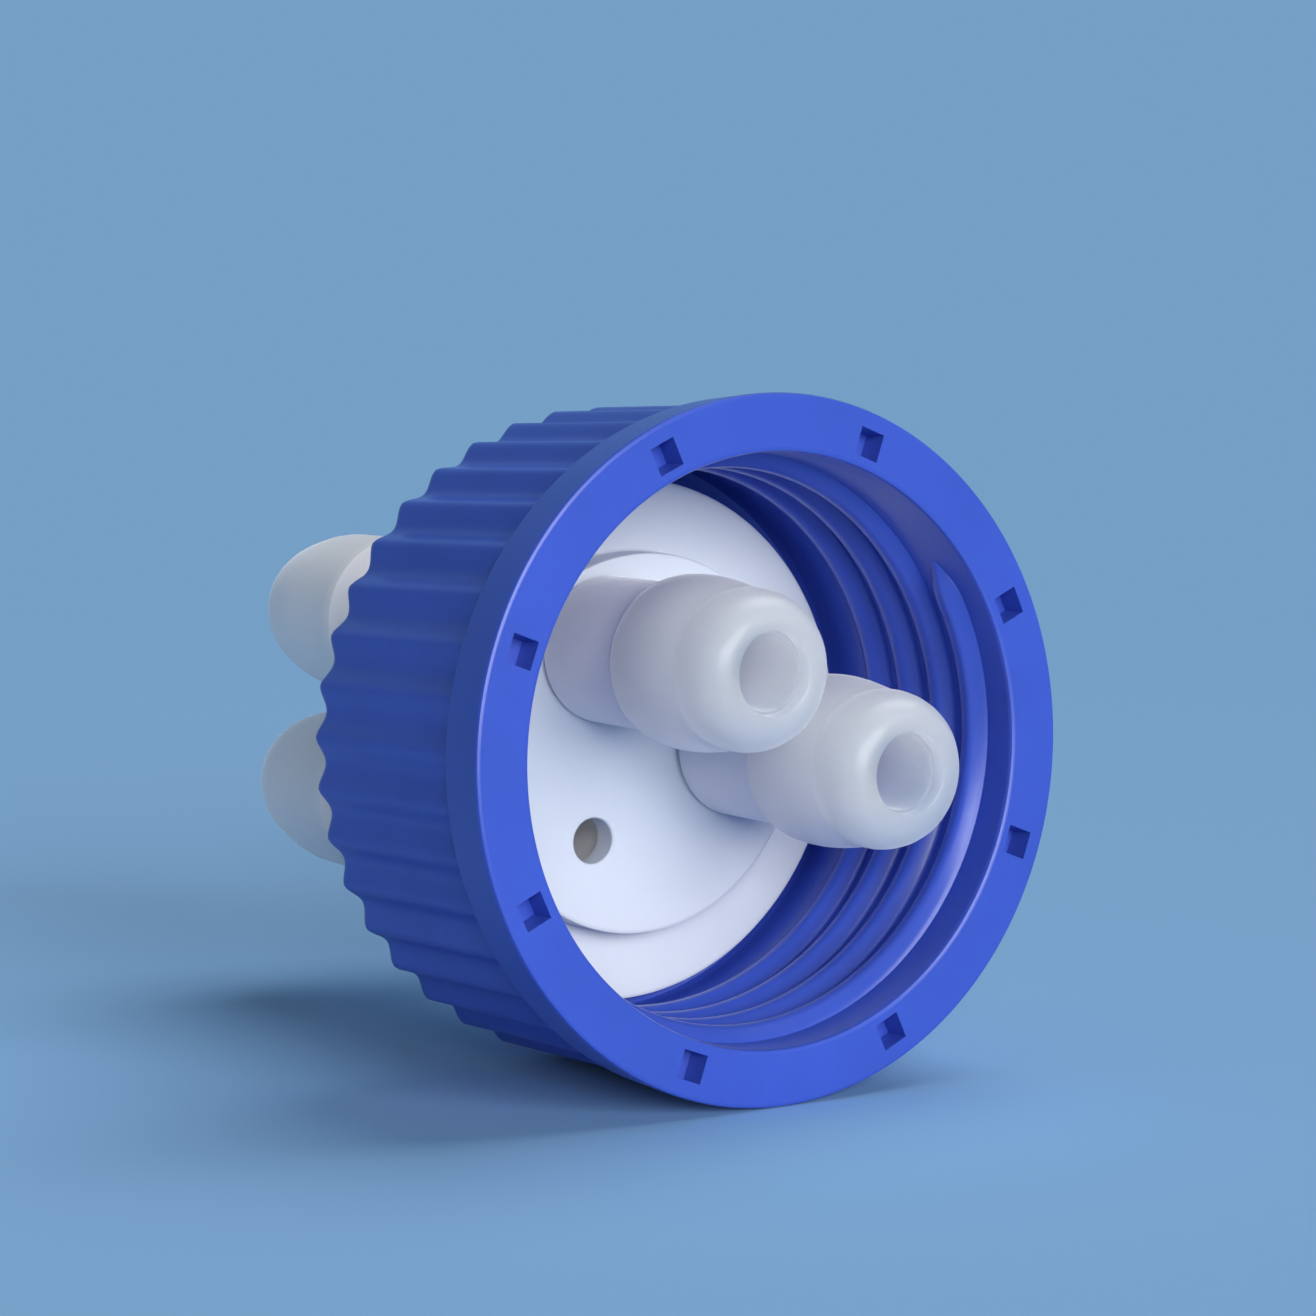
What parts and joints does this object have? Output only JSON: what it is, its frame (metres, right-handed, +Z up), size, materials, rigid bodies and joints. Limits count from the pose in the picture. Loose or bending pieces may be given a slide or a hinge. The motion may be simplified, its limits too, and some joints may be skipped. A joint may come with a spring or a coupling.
{
  "type": "bottle cap adapter",
  "caption": "Open-top screw cap for a lab bottle, clamping a disc insert with hose barbs on both sides and a vent port; the cap turns freely round the insert.",
  "frame": {"origin": "on the surface it lies on, under the middle of the bounding box", "axes": "+X to the right seen from the mouth, +Y from the mouth towards the outer hose barbs, +Z up; the cap axis lies in the YZ plane and tips up 2 degrees at the mouth"},
  "size_m": [0.0544, 0.0702, 0.0544],
  "materials": {
    "blue_polypropylene": "moulded, satin",
    "white_ptfe": "turned, satin",
    "natural_polypropylene": "translucent, satin",
    "seal_elastomer": "matte"
  },
  "bodies": {
    "insert": {"inner_barb_a": "natural_polypropylene", "inner_barb_b": "natural_polypropylene", "outer_barb_a": "natural_polypropylene", "outer_barb_b": "natural_polypropylene", "outer_barb_vent": "natural_polypropylene", "port_insert": "white_ptfe", "seal_ring_a": "seal_elastomer", "seal_ring_b": "seal_elastomer", "seal_ring_vent": "seal_elastomer"},
    "cap": {"screw_cap": "blue_polypropylene"}
  },
  "joints": [
    {"name": "cap_turn", "type": "hinge", "parent": "insert", "child": "cap", "pos_m": [0, -0.01752, 0.02676], "axis": [0, -0.9993, 0.0364], "continuous": true}
  ]
}
